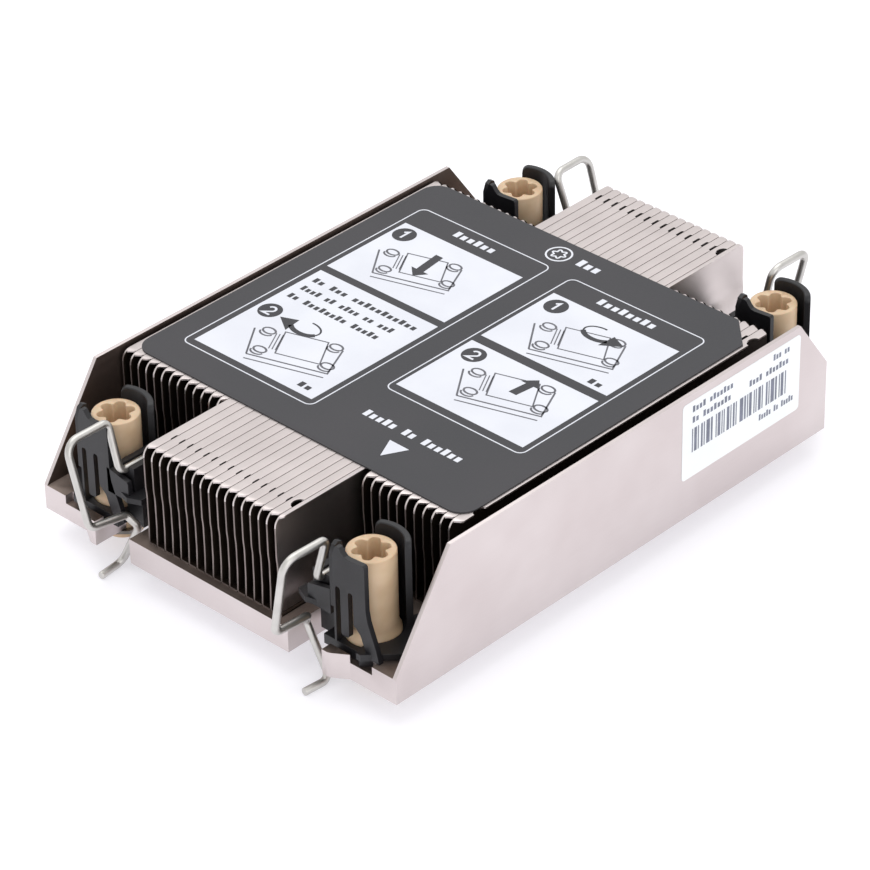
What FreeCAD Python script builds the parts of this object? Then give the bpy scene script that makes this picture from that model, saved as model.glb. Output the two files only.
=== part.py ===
import FreeCAD, Part
import math
import os
import sys

import Sketcher

# Passive heatsink for a server processor: a nickel-plated carrier with folded side walls, three
# stacks of zipper fins, four captive nuts, their moulded clips and four anti-tilt wires.
#
# Frame: +Z up, +Y towards the rear of the server, origin under the middle of the nut pattern, on
# the underside of the pedestal. All sizes are millimetres and live in the sheet "Sizes".

Vector = FreeCAD.Vector

doc = FreeCAD.newDocument("ServerHeatsink")
sheet = doc.addObject("Spreadsheet::Sheet", "Sizes")

SIZES = {
    # carrier plate and side walls
    "base_width": 78.0,
    "nut_pitch_x": 56.0,
    "nut_pitch_y": 94.0,
    "plate_thick": 4.6,
    "pedestal_tall": 4.6,
    "pedestal_wide": 46.0,
    "pedestal_long": 68.0,
    "wall_thick": 0.7,
    "wall_tall": 22.95,
    "wall_front_reach": 6.65,
    "wall_rear_reach": 0.6,
    "front_slope_run": 12.25,
    "rear_slope_run": 7.15,
    "rear_slope_drop": 10.0,
    "tab_reach": 1.8,
    "tab_wide": 1.4,
    "tab_run": 4.2,
    "tab_round": 2.0,
    "ear_reach": 8.0,
    "ear_round": 7.2,
    "notch_inner": 17.6,
    "notch_outer": 25.2,
    "notch_back": 2.0,
    "lip_front_reach": 8.1,
    "lip_rear_reach": 9.3,
    "recess_deep": 1.5,
    "mouth_outer": 34.0,
    "mouth_deep": 1.6,
    # zipper fins
    "fin_thick": 0.3,
    "fin_tall": 17.9,
    "fin_bend": 0.55,
    "fin_corner": 1.35,
    "fin_gap": 0.05,
    "left_fins": 13,
    "centre_fins": 17,
    "right_fins": 11,
    "left_room": 0.85,
    "right_room": 2.4,
    "left_step": 1.25,
    "right_step": 1.95,
    "centre_end_reach": 0.8,
    "centre_front": 53.65,
    "centre_rear": 55.6,
    "side_front": 36.85,
    "side_rear": 37.5,
    "window_inset": 5.2,
    "window_long": 1.4,
    "window_wide": 0.42,
    "scallop_long": 2.6,
    "scallop_wide": 0.75,
    "end_window_long": 3.0,
    "end_window_wide": 1.0,
    # captive nuts
    "nut_top": 20.0,
    "nut_tail": 2.0,
    "nut_radius": 3.9,
    "skirt_radius": 4.5,
    "skirt_top": 6.2,
    "shank_radius": 3.3,
    "shank_clearance": 0.1,
    "seat_clearance": 0.05,
    "thread_radius": 1.65,
    "thread_deep": 12.0,
    "socket_core": 2.05,
    "socket_lobe": 2.8,
    "socket_deep": 5.5,
    "ring_thick": 0.6,
    "ring_radius": 4.2,
    "ring_clearance": 0.1,
    "ring_grip": 0.02,
    "ring_slot": 1.6,
    # moulded clips round the nuts
    "clip_thick": 1.8,
    "clip_half_long": 6.4,
    "clip_outer": 6.2,
    "clip_inner": 4.6,
    "clip_chamfer": 3.1,
    "clip_hole_clearance": 0.3,
    "clip_recess_clearance": 0.12,
    "post_top": 21.6,
    "mould_overlap": 0.3,
    "claw_near": 4.75,
    "claw_thick": 0.9,
    "claw_left": 3.1,
    "claw_right": 4.0,
    "claw_tip_left": 2.1,
    "claw_tip_right": 1.3,
    "claw_tip_drop": 2.2,
    "claw_saddle": 0.2,
    "claw_saddle_drop": 1.0,
    "claw_brow_drop": 0.5,
    "claw_waist": 13.0,
    "claw_hip": 4.9,
    "claw_hip_level": 9.2,
    "claw_foot": 5.6,
    "claw_leg_wide": 2.0,
    "claw_knee": 3.0,
    "claw_knee_level": 7.8,
    "claw_slot_top": 15.1,
    "claw_slot_wide": 1.0,
    "finger_left": 1.25,
    "finger_right": 0.4,
    "finger_end": 6.6,
    "wrap_near": 3.5,
    "wrap_thick": 0.8,
    "wrap_base": 11.0,
    "wrap_taper": 1.2,
    "arc_inner": 4.4,
    "arc_thick": 1.0,
    "arc_left": 3.9,
    "arc_right": 3.3,
    "arc_round": 1.5,
    # wire bearing on each clip
    "bearing_inner": 4.7,
    "bearing_outer": 8.3,
    "bearing_foot_half": 3.0,
    "bearing_half": 4.3,
    "bearing_shoulder": 9.6,
    "bearing_top": 14.9,
    "bearing_clearance": 0.07,
    "catch_root": 2.0,
    "catch_reach": 10.6,
    "catch_near": 3.4,
    "catch_far": 5.2,
    "catch_long": 6.2,
    "catch_level": 9.5,
    "catch_thick": 1.0,
    # anti-tilt wires
    "wire_radius": 0.65,
    "hinge_v": 6.4,
    "hinge_level": 14.2,
    # printed foils
    "label_left_gap": 1.45,
    "label_right_gap": 2.95,
    "label_front": 34.75,
    "label_rear": 34.35,
    "label_thick": 0.22,
    "label_round": 3.2,
    "side_label_front": 11.4,
    "side_label_rear": 40.4,
    "side_label_low": 7.4,
    "side_label_high": 21.6,
    "side_label_thick": 0.1,
}

for line, (alias, number) in enumerate(SIZES.items(), 1):
    sheet.set(f"A{line}", alias)
    sheet.set(f"B{line}", str(number))
    sheet.setAlias(f"B{line}", alias)
doc.recompute()


def value(expression):
    """The number that an expression on the sheet gives now."""
    return float(sheet.evalExpression(str(expression)))


def origin_plane(body, role):
    return next(item for item in body.Origin.OriginFeatures if item.Role == role)


def new_sketch(body, name, role, level=None):
    """A sketch on one of the body's origin planes, raised by an expression along its normal."""
    sketch = body.newObject("Sketcher::SketchObject", name)
    sketch.AttachmentSupport = [(origin_plane(body, role), "")]
    sketch.MapMode = "FlatFace"
    if level is not None:
        sketch.setExpression("AttachmentOffset.Base.z", str(level))
    return sketch


def pin_point(sketch, geometry, point, across, up):
    """Bind one sketch point to two expressions, measured from the sketch's origin."""
    for kind, expression in (("DistanceX", across), ("DistanceY", up)):
        index = sketch.addConstraint(
            Sketcher.Constraint(kind, -1, 1, geometry, point, value(expression))
        )
        sketch.setExpression(f"Constraints[{index}]", str(expression))


def add_polygon(sketch, corners):
    """A closed outline of straight lines through corners given as pairs of expressions."""
    first = sketch.GeometryCount
    count = len(corners)
    places = [Vector(value(across), value(up), 0) for across, up in corners]
    for index in range(count):
        line = Part.LineSegment(places[index], places[(index + 1) % count])
        sketch.addGeometry(line, False)
    for index in range(count):
        following = first + (index + 1) % count
        sketch.addConstraint(Sketcher.Constraint("Coincident", first + index, 2, following, 1))
    for index, (across, up) in enumerate(corners):
        pin_point(sketch, first + index, 1, across, up)


def add_circle(sketch, across, up, radius):
    centre = Vector(value(across), value(up), 0)
    index = sketch.addGeometry(Part.Circle(centre, Vector(0, 0, 1), value(radius)), False)
    pin_point(sketch, index, 3, across, up)
    constraint = sketch.addConstraint(Sketcher.Constraint("Radius", index, value(radius)))
    sketch.setExpression(f"Constraints[{constraint}]", str(radius))


def pad(body, name, sketch, length, reverse=False):
    feature = body.newObject("PartDesign::Pad", name)
    feature.Profile = sketch
    feature.setExpression("Length", str(length))
    feature.Reversed = reverse
    return feature


def pocket(body, name, sketch, length=None, reverse=False):
    """A cut of a stated depth, or right through to both sides when no depth is given."""
    feature = body.newObject("PartDesign::Pocket", name)
    feature.Profile = sketch
    if length is None:
        feature.Type = 1
        feature.Midplane = True
    else:
        feature.setExpression("Length", str(length))
    feature.Reversed = reverse
    return feature


def edges_near(shape, places, slack=1e-3):
    """Names of the straight edges whose middle lies at one of the places; None skips that axis."""
    found = []
    for number, edge in enumerate(shape.Edges, 1):
        middle = (edge.Vertexes[0].Point + edge.Vertexes[-1].Point) * 0.5
        for place in places:
            if all(want is None or abs(have - want) < slack for have, want in zip(middle, place)):
                found.append(f"Edge{number}")
    return found


def fillet(body, name, places, radius):
    """Round the straight edges found at the places, on the body as it stands."""
    doc.recompute()
    base = body.Tip
    names = edges_near(base.Shape, places)
    feature = body.newObject("PartDesign::Fillet", name)
    feature.Base = (base, names)
    feature.setExpression("Radius", str(radius))
    return feature


def new_body(name, x=None, y=None, z=None):
    body = doc.addObject("PartDesign::Body", name)
    body.Label = name
    for axis, expression in (("x", x), ("y", y), ("z", z)):
        if expression is not None:
            body.setExpression(f"Placement.Base.{axis}", str(expression))
    return body


pieces = []

# Expressions that several pieces share, in the row frame.
half_width = "Sizes.base_width / 2"
wall_inner = f"({half_width} - Sizes.wall_thick)"
stack_room = f"(2 * {wall_inner} - Sizes.left_room - Sizes.right_room)"
pitch_count = "(Sizes.left_fins + Sizes.centre_fins + Sizes.right_fins - 2)"
fin_pitch = f"(({stack_room} - Sizes.left_step - Sizes.right_step + Sizes.fin_gap) / {pitch_count})"
nut_x = "Sizes.nut_pitch_x / 2"
nut_y = "Sizes.nut_pitch_y / 2"
plate_under = "Sizes.pedestal_tall"
plate_top = "(Sizes.pedestal_tall + Sizes.plate_thick)"
wall_front = f"-({nut_y} + Sizes.wall_front_reach)"
wall_rear = f"({nut_y} + Sizes.wall_rear_reach)"
CORNERS = [("front_left", -1, -1), ("front_right", 1, -1), ("rear_left", -1, 1), ("rear_right", 1, 1)]


def make_base_frame():
    """Carrier plate with tabs, notches and ears, the two folded walls and the contact pedestal."""
    body = new_body("base_frame")
    lip_front = f"-({nut_y} + Sizes.lip_front_reach)"
    lip_rear = f"({nut_y} + Sizes.lip_rear_reach)"
    front_notch = f"-({nut_y} - Sizes.notch_back)"
    rear_notch = f"({nut_y} - Sizes.notch_back)"
    tab_front = f"({wall_front} - Sizes.tab_reach)"
    ear_rear = f"({nut_y} + Sizes.ear_reach)"
    ear_side = f"({nut_x} + Sizes.ear_reach)"
    tab_end = "(Sizes.notch_outer + Sizes.tab_wide)"
    tab_foot = "(Sizes.notch_outer + Sizes.tab_run)"
    right = [
        ("Sizes.notch_inner", lip_front),
        ("Sizes.notch_inner", front_notch),
        ("Sizes.notch_outer", front_notch),
        ("Sizes.notch_outer", tab_front),
        (tab_end, tab_front),
        (tab_foot, wall_front),
        (half_width, wall_front),
        (half_width, wall_rear),
        (ear_side, wall_rear),
        (ear_side, ear_rear),
        ("Sizes.notch_outer", ear_rear),
        ("Sizes.notch_outer", rear_notch),
        ("Sizes.notch_inner", rear_notch),
        ("Sizes.notch_inner", lip_rear),
    ]
    left = [(f"-({across})", up) for across, up in reversed(right)]
    outline = new_sketch(body, "plate_outline", "XY_Plane", plate_under)
    add_polygon(outline, right + left)
    pad(body, "plate", outline, "Sizes.plate_thick")

    for side, offset in (("left", f"-{half_width}"), ("right", f"{half_width} - Sizes.wall_thick")):
        profile = new_sketch(body, f"{side}_wall_profile", "YZ_Plane", offset)
        top = "(Sizes.pedestal_tall + Sizes.wall_tall)"
        add_polygon(profile, [
            (wall_front, plate_under),
            (wall_front, plate_top),
            (f"{wall_front} + Sizes.front_slope_run", top),
            (f"{wall_rear} - Sizes.rear_slope_run", top),
            (wall_rear, f"{top} - Sizes.rear_slope_drop"),
            (wall_rear, plate_under),
        ])
        pad(body, f"{side}_wall", profile, "Sizes.wall_thick")

    contact = new_sketch(body, "pedestal_outline", "XY_Plane")
    wide, long = "Sizes.pedestal_wide / 2", "Sizes.pedestal_long / 2"
    add_polygon(contact, [
        (f"-{wide}", f"-{long}"), (wide, f"-{long}"), (wide, long), (f"-{wide}", long),
    ])
    pad(body, "pedestal", contact, plate_under)

    holes = new_sketch(body, "nut_holes", "XY_Plane")
    for _, sx, sy in CORNERS:
        add_circle(holes, f"{sx} * {nut_x}", f"{sy} * {nut_y}",
                   "Sizes.shank_radius + Sizes.shank_clearance")
    pocket(body, "nut_bores", holes)

    recess = new_sketch(body, "clip_recesses", "XY_Plane", plate_top)
    mouths = new_sketch(body, "recess_mouth_outline", "XY_Plane", plate_top)
    for _, sx, sy in CORNERS:
        add_polygon(recess, clip_outline(sx, "Sizes.clip_recess_clearance", nut_x, f"{sy} * {nut_y}"))
    for side in (-1, 1):
        mouth_back = f"{wall_front} + Sizes.mouth_deep"
        add_polygon(mouths, [
            (f"{side} * ({tab_foot})", f"{wall_front} - Sizes.tab_reach"),
            (f"{side} * Sizes.mouth_outer", f"{wall_front} - Sizes.tab_reach"),
            (f"{side} * Sizes.mouth_outer", mouth_back),
            (f"{side} * ({tab_foot})", mouth_back),
        ])
    pocket(body, "recesses", recess, "Sizes.recess_deep")
    pocket(body, "recess_mouths", mouths, "Sizes.recess_deep")

    middle = value(plate_under) + value("Sizes.plate_thick") / 2
    bends = []
    for side in (-1, 1):
        bends.append((side * value(tab_end), value(tab_front), middle))
        bends.append((side * value(tab_foot), value(wall_front), middle))
    fillet(body, "tab_curves", bends, "Sizes.tab_round")
    ears = [(side * value(ear_side), value(ear_rear), middle) for side in (-1, 1)]
    fillet(body, "ear_curves", ears, "Sizes.ear_round")
    pieces.append(body)


def clip_outline(sx, grow, x="0", y="0"):
    """Plan of a clip's foot plate: chamfered outwards, narrow towards the wire's notch."""
    long = f"(Sizes.clip_half_long + {grow})"
    outer = f"(Sizes.clip_outer + {grow})"
    inner = f"(Sizes.clip_inner + {grow})"
    shelf = f"(Sizes.bearing_outer + {grow})"
    half = f"(Sizes.bearing_foot_half + {grow})"
    plan = [
        (f"-{inner}", f"-{long}"),
        (f"{outer} - Sizes.clip_chamfer", f"-{long}"),
        (outer, f"-({long} - Sizes.clip_chamfer)"),
        (outer, f"{long} - Sizes.clip_chamfer"),
        (f"{outer} - Sizes.clip_chamfer", long),
        (f"-{inner}", long),
        (f"-{inner}", half),
        (f"-{shelf}", half),
        (f"-{shelf}", f"-{half}"),
        (f"-{inner}", f"-{half}"),
    ]
    return [(f"{sx} * ({x} + ({across}))", f"{y} + ({up})") for across, up in plan]


def make_fin(name, x, front, rear, reach, window):
    """One folded fin: foot flange, web, chamfered bend and top flange towards +X."""
    body = new_body(name, x, f"-({front})", plate_top)
    thick = "Sizes.fin_thick"
    tall = "Sizes.fin_tall"
    section = new_sketch(body, f"{name}_section", "XZ_Plane")
    add_polygon(section, [
        ("0", "0"),
        (reach, "0"),
        (reach, thick),
        (thick, thick),
        (thick, f"{tall} - {thick}"),
        (reach, f"{tall} - {thick}"),
        (reach, tall),
        ("Sizes.fin_bend", tall),
        ("0", f"{tall} - Sizes.fin_bend"),
    ])
    length = f"({front} + {rear})"
    pad(body, f"{name}_sheet", section, length, reverse=True)

    corner = "Sizes.fin_corner"
    middle = f"({corner} * {1 - math.sqrt(0.5):.3f})"
    rounds = new_sketch(body, f"{name}_corners", "YZ_Plane")
    for end, inward in (("0", "+"), (length, "-")):
        outside = f"{end} - ({inward}{corner})"
        add_polygon(rounds, [
            (outside, f"{tall} + {corner}"),
            (outside, f"{tall} - {corner}"),
            (end, f"{tall} - {corner}"),
            (f"{end} {inward} {middle}", f"{tall} - {middle}"),
            (f"{end} {inward} {corner}", tall),
            (f"{end} {inward} {corner}", f"{tall} + {corner}"),
        ])
    pocket(body, f"{name}_rounding", rounds)

    if window is None:
        pieces.append(body)
        return
    windows = new_sketch(body, f"{name}_windows", "XY_Plane", tall)
    front_long, front_wide = "Sizes.window_long", "Sizes.window_wide"
    rear_long, rear_wide = "Sizes.scallop_long", "Sizes.scallop_wide"
    if window == "wide":
        front_long = rear_long = "Sizes.end_window_long"
        front_wide = rear_wide = "Sizes.end_window_wide"
    spots = (
        ("Sizes.window_inset", front_long, front_wide),
        (f"{length} - Sizes.window_inset", rear_long, rear_wide),
    )
    for place, long, wide in spots:
        add_polygon(windows, [
            (f"{reach} - {wide}", f"{place} - {long} / 2 + {wide} / 2"),
            (f"{reach} + {wide}", f"{place} - {long} / 2"),
            (f"{reach} + {wide}", f"{place} + {long} / 2"),
            (f"{reach} - {wide}", f"{place} + {long} / 2 - {wide} / 2"),
        ])
    pocket(body, f"{name}_interlocks", windows, f"{thick} * 1.5")
    pieces.append(body)


def make_fins():
    """Three stacks that share out the room between the walls; the middle one is longer."""
    reach = f"({fin_pitch} - Sizes.fin_gap)"
    left_first = f"(Sizes.left_room - {wall_inner})"
    centre_first = f"({left_first} + (Sizes.left_fins - 1) * {fin_pitch} + Sizes.left_step)"
    right_first = f"({centre_first} + (Sizes.centre_fins - 1) * {fin_pitch} + Sizes.right_step)"
    stacks = (
        ("left", "side", left_first, "(Sizes.left_step - Sizes.fin_gap)"),
        ("centre", "centre", centre_first, "Sizes.centre_end_reach"),
        ("right", "side", right_first, None),
    )
    for label, kind, first, end_reach in stacks:
        front, rear = f"Sizes.{kind}_front", f"Sizes.{kind}_rear"
        count = int(value(f"Sizes.{label}_fins"))
        windows = ["narrow"] * (count - 1) + ["wide"]
        if end_reach:
            windows = windows[1:] + [None]
        for index, window in enumerate(windows):
            x = f"{first} + {index} * {fin_pitch}"
            tip = reach if window else end_reach
            make_fin(f"{label}_fin_{index + 1:02d}", x, front, rear, tip, window)


def make_nut(corner, sx, sy):
    """Turned nut: threaded blind bore below, six-lobe drive socket above."""
    name = f"nut_{corner}"
    body = new_body(name, f"{sx} * {nut_x}", f"{sy} * {nut_y}", plate_under)
    seat = "(Sizes.plate_thick - Sizes.recess_deep + Sizes.seat_clearance)"
    profile = new_sketch(body, f"{name}_profile", "XZ_Plane")
    add_polygon(profile, [
        ("Sizes.thread_radius", "-Sizes.nut_tail"),
        ("Sizes.shank_radius", "-Sizes.nut_tail"),
        ("Sizes.shank_radius", seat),
        ("Sizes.skirt_radius", seat),
        ("Sizes.skirt_radius", "Sizes.skirt_top"),
        ("Sizes.nut_radius", "Sizes.skirt_top"),
        ("Sizes.nut_radius", "Sizes.nut_top"),
        ("0", "Sizes.nut_top"),
        ("0", "Sizes.thread_deep - Sizes.nut_tail"),
        ("Sizes.thread_radius", "Sizes.thread_deep - Sizes.nut_tail"),
    ])
    turned = body.newObject("PartDesign::Revolution", f"{name}_turned")
    turned.Profile = profile
    turned.ReferenceAxis = (profile, ["V_Axis"])
    turned.Angle = 360

    drive = new_sketch(body, f"{name}_drive", "XY_Plane", "Sizes.nut_top")
    star = []
    for lobe in range(6):
        for radius, turn in (("core", -22), ("lobe", -9), ("lobe", 9), ("core", 22)):
            angle = math.radians(60 * lobe + turn)
            star.append((
                f"Sizes.socket_{radius} * {math.cos(angle):.4f}",
                f"Sizes.socket_{radius} * {math.sin(angle):.4f}",
            ))
    add_polygon(drive, star)
    pocket(body, f"{name}_socket", drive, "Sizes.socket_deep")
    pieces.append(body)


def make_clip(corner, sx, sy):
    """Moulded clip: foot plate, sprung claw, arc post and the bearing of the anti-tilt wire.

    sx is the outward side along X, sy the outward side along Y. The claw and the post face
    the same way at every corner; the foot plate and the bearing are handed.
    """
    name = f"clip_{corner}"
    body = new_body(name, f"{sx} * {nut_x}", f"{sy} * {nut_y}", plate_under)
    foot_low = "(Sizes.plate_thick - Sizes.recess_deep)"
    foot_top = f"({foot_low} + Sizes.clip_thick)"
    rooted = f"({foot_top} - Sizes.mould_overlap)"

    foot = new_sketch(body, f"{name}_foot", "XY_Plane", foot_low)
    add_polygon(foot, clip_outline(sx, "0"))
    pad(body, f"{name}_plate", foot, "Sizes.clip_thick")

    # A leg on the left, a sprung finger between two slots, a leg that sweeps out on the right.
    claw = new_sketch(body, f"{name}_claw", "XZ_Plane", "Sizes.claw_near")
    slot_left = "-(Sizes.finger_left + Sizes.claw_slot_wide)"
    slot_right = "(Sizes.finger_right + Sizes.claw_slot_wide)"
    add_polygon(claw, [
        ("-Sizes.claw_left", rooted),
        ("-Sizes.claw_left", "Sizes.post_top - Sizes.claw_tip_drop"),
        ("-Sizes.claw_tip_left", "Sizes.post_top"),
        ("-Sizes.claw_tip_right", "Sizes.post_top"),
        ("-Sizes.claw_saddle", "Sizes.post_top - Sizes.claw_saddle_drop"),
        ("Sizes.claw_right", "Sizes.post_top - Sizes.claw_brow_drop"),
        ("Sizes.claw_right", "Sizes.claw_waist"),
        ("Sizes.claw_hip", "Sizes.claw_hip_level"),
        ("Sizes.claw_foot", rooted),
        ("Sizes.claw_foot - Sizes.claw_leg_wide", rooted),
        ("Sizes.claw_knee", "Sizes.claw_knee_level"),
        (slot_right, "Sizes.claw_hip_level"),
        (slot_right, "Sizes.claw_slot_top"),
        ("Sizes.finger_right", "Sizes.claw_slot_top"),
        ("Sizes.finger_right", "Sizes.finger_end"),
        ("-Sizes.finger_left", "Sizes.finger_end"),
        ("-Sizes.finger_left", "Sizes.claw_slot_top"),
        (slot_left, "Sizes.claw_slot_top"),
        (slot_left, rooted),
    ])
    pad(body, f"{name}_claw_plate", claw, "Sizes.claw_thick")

    wrap = new_sketch(body, f"{name}_wrap", "YZ_Plane", "-(Sizes.claw_left + Sizes.wrap_thick)")
    claw_back = "-(Sizes.claw_near + Sizes.claw_thick)"
    add_polygon(wrap, [
        (claw_back, "Sizes.wrap_base"),
        (claw_back, "Sizes.post_top - Sizes.claw_tip_drop"),
        ("-Sizes.wrap_near - Sizes.wrap_thick", "Sizes.post_top"),
        ("-Sizes.wrap_near", "Sizes.post_top - Sizes.claw_brow_drop"),
        ("-Sizes.wrap_near", "Sizes.wrap_base + Sizes.wrap_taper"),
    ])
    pad(body, f"{name}_wrap_lip", wrap, "Sizes.wrap_thick")

    # The arc post: a wall round the nut's far side, its two top corners cut off.
    post = new_sketch(body, f"{name}_post", "XY_Plane", rooted)
    radii = ("Sizes.arc_inner", "Sizes.arc_inner + Sizes.arc_thick")
    sides = ("Sizes.arc_right", "-Sizes.arc_left")
    for radius in radii:
        angles = [math.acos(value(side) / value(radius)) for side in sides]
        arc = Part.ArcOfCircle(Part.Circle(Vector(0, 0, 0), Vector(0, 0, 1), value(radius)), *angles)
        index = post.addGeometry(arc, False)
        post.addConstraint(Sketcher.Constraint("Coincident", index, 3, -1, 1))
        held = post.addConstraint(Sketcher.Constraint("Radius", index, value(radius)))
        post.setExpression(f"Constraints[{held}]", radius)
        for point, side in zip((1, 2), sides):
            held = post.addConstraint(Sketcher.Constraint("DistanceX", -1, 1, index, point, value(side)))
            post.setExpression(f"Constraints[{held}]", side)
    for point in (1, 2):
        ends = [post.getPoint(index, point) for index in (0, 1)]
        line = post.addGeometry(Part.LineSegment(*ends), False)
        post.addConstraint(Sketcher.Constraint("Coincident", line, 1, 0, point))
        post.addConstraint(Sketcher.Constraint("Coincident", line, 2, 1, point))
    pad(body, f"{name}_arc_post", post, f"Sizes.post_top - {rooted}")
    corners = new_sketch(body, f"{name}_post_corners", "XZ_Plane", "-Sizes.arc_inner / 2")
    for edge, inward in (("Sizes.arc_right", "-"), ("-Sizes.arc_left", "+")):
        add_polygon(corners, [
            (edge, "Sizes.post_top - Sizes.arc_round"),
            (f"{edge} {inward} Sizes.arc_round", "Sizes.post_top"),
            (edge, "Sizes.post_top"),
        ])
    pocket(body, f"{name}_post_rounding", corners, "Sizes.arc_inner")

    bearing = new_sketch(body, f"{name}_bearing", "XZ_Plane", "-Sizes.bearing_half")
    inner, outer = f"{-sx} * Sizes.bearing_inner", f"{-sx} * Sizes.bearing_outer"
    add_polygon(bearing, [
        (inner, "Sizes.bearing_shoulder"), (outer, "Sizes.bearing_shoulder"),
        (outer, "Sizes.bearing_top"), (inner, "Sizes.bearing_top"),
    ])
    pad(body, f"{name}_bearing_block", bearing, "2 * Sizes.bearing_half")
    stem = new_sketch(body, f"{name}_stem", "XZ_Plane", "-Sizes.bearing_foot_half")
    stem_top = "Sizes.bearing_shoulder + Sizes.mould_overlap"
    add_polygon(stem, [(inner, rooted), (outer, rooted), (outer, stem_top), (inner, stem_top)])
    pad(body, f"{name}_bearing_stem", stem, "2 * Sizes.bearing_foot_half")

    catch = new_sketch(body, f"{name}_catch", "XY_Plane", "Sizes.catch_level")
    reach = f"{-sx} * Sizes.catch_reach"
    add_polygon(catch, [
        (inner, f"{sy} * Sizes.catch_root"),
        (inner, f"{sy} * Sizes.catch_far"),
        (outer, f"{sy} * Sizes.catch_long"),
        (reach, f"{sy} * Sizes.catch_far"),
        (reach, f"{sy} * Sizes.catch_near"),
        (outer, f"{sy} * Sizes.catch_root"),
    ])
    pad(body, f"{name}_catch_arm", catch, "Sizes.catch_thick")

    # The wire lies in a trough that is open above; its floor is three flats round the wire.
    trough = new_sketch(body, f"{name}_trough", "XZ_Plane")
    bore = "(Sizes.wire_radius + Sizes.bearing_clearance)"
    flat = f"{bore} * {math.tan(math.pi / 8):.4f}"
    middle = f"{-sx} * Sizes.hinge_v"
    low = f"Sizes.hinge_level - {bore}"
    add_polygon(trough, [
        (f"{middle} - {bore}", f"Sizes.hinge_level - {flat}"),
        (f"{middle} - {bore}", "Sizes.bearing_top + Sizes.wire_radius"),
        (f"{middle} + {bore}", "Sizes.bearing_top + Sizes.wire_radius"),
        (f"{middle} + {bore}", f"Sizes.hinge_level - {flat}"),
        (f"{middle} + {flat}", low),
        (f"{middle} - {flat}", low),
    ])
    pocket(body, f"{name}_trough_cut", trough)

    hole = new_sketch(body, f"{name}_hole", "XY_Plane", foot_low)
    flats = 16
    round_nut = f"(Sizes.skirt_radius + Sizes.clip_hole_clearance) / {math.cos(math.pi / flats):.5f}"
    turns = [math.radians(360 * (index + 0.5) / flats) for index in range(flats)]
    add_polygon(hole, [
        (f"{round_nut} * {math.cos(turn):.5f}", f"{round_nut} * {math.sin(turn):.5f}") for turn in turns
    ])
    hole_top = "Sizes.skirt_top + Sizes.clip_hole_clearance"
    pocket(body, f"{name}_nut_hole", hole, f"{hole_top} - {foot_low}", reverse=True)
    pieces.append(body)


def wire_route(sx, sy):
    """Corner points of a wire and the bend radius at each, in the row frame.

    Each entry is outward along Y, inward along X and up from the plate's underside.
    """
    v, level, top = value("Sizes.hinge_v"), value("Sizes.hinge_level"), value("Sizes.post_top")
    corners = [
        (9.1, v - 0.6, -3.6, 0),
        (3.4, v - 0.6, -3.1, 1.5),
        (5.1, v + 3.25, 5.1, 1.3),
        (6.2, v + 1.5, 7.35, 1.0),
        (13.7, v + 1.1, 8.6, 1.6),
        (13.0, v - 0.9, top - 0.3, 2.6),
        (4.9, v - 1.1, top - 0.6, 2.2),
        (5.5, v, level, 1.3),
        (-0.5, v, level, 0),
    ]
    x, y, z = sx * value(nut_x), sy * value(nut_y), value(plate_under)
    return [(Vector(x - sx * v, y + sy * u, z + up), bend) for u, v, up, bend in corners]


def bent_path(route):
    """Straight runs; a sharp bend is two chords of its arc and a slight one a single mitre."""
    slight = math.radians(65)
    points = [route[0][0]]
    for (before, _), (corner, radius), (after, _) in zip(route, route[1:], route[2:]):
        back, ahead = (before - corner).normalize(), (after - corner).normalize()
        half = back.getAngle(ahead) / 2
        setback = radius / math.tan(half)
        bisector = (back + ahead).normalize()
        crown = corner + bisector * (radius / math.sin(half) - radius)
        if math.pi - 2 * half < slight:
            points.append(crown)
        else:
            points += [corner + back * setback, crown, corner + ahead * setback]
    return Part.makePolygon(points + [route[-1][0]])


def make_wire(corner, sx, sy):
    """Anti-tilt wire: hook under the board's frame, leg, finger loop and the hinge foot."""
    name = f"wire_{corner}"
    route = wire_route(sx, sy)
    path = doc.addObject("Part::Feature", f"{name}_path")
    path.Shape = bent_path(route)
    heading = route[1][0] - route[0][0]
    section = doc.addObject("Part::RegularPolygon", f"{name}_section")
    section.Polygon = 8
    section.setExpression("Circumradius", "Sizes.wire_radius")
    section.Placement = FreeCAD.Placement(route[0][0], FreeCAD.Rotation(Vector(0, 0, 1), heading))
    wire = doc.addObject("Part::Sweep", name)
    wire.Label = name
    wire.Sections = [section]
    wire.Spine = (path, [f"Edge{number + 1}" for number in range(len(path.Shape.Edges))])
    wire.Transition = "Right corner"
    wire.Solid = True
    wire.Frenet = False
    pieces.append(wire)


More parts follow.
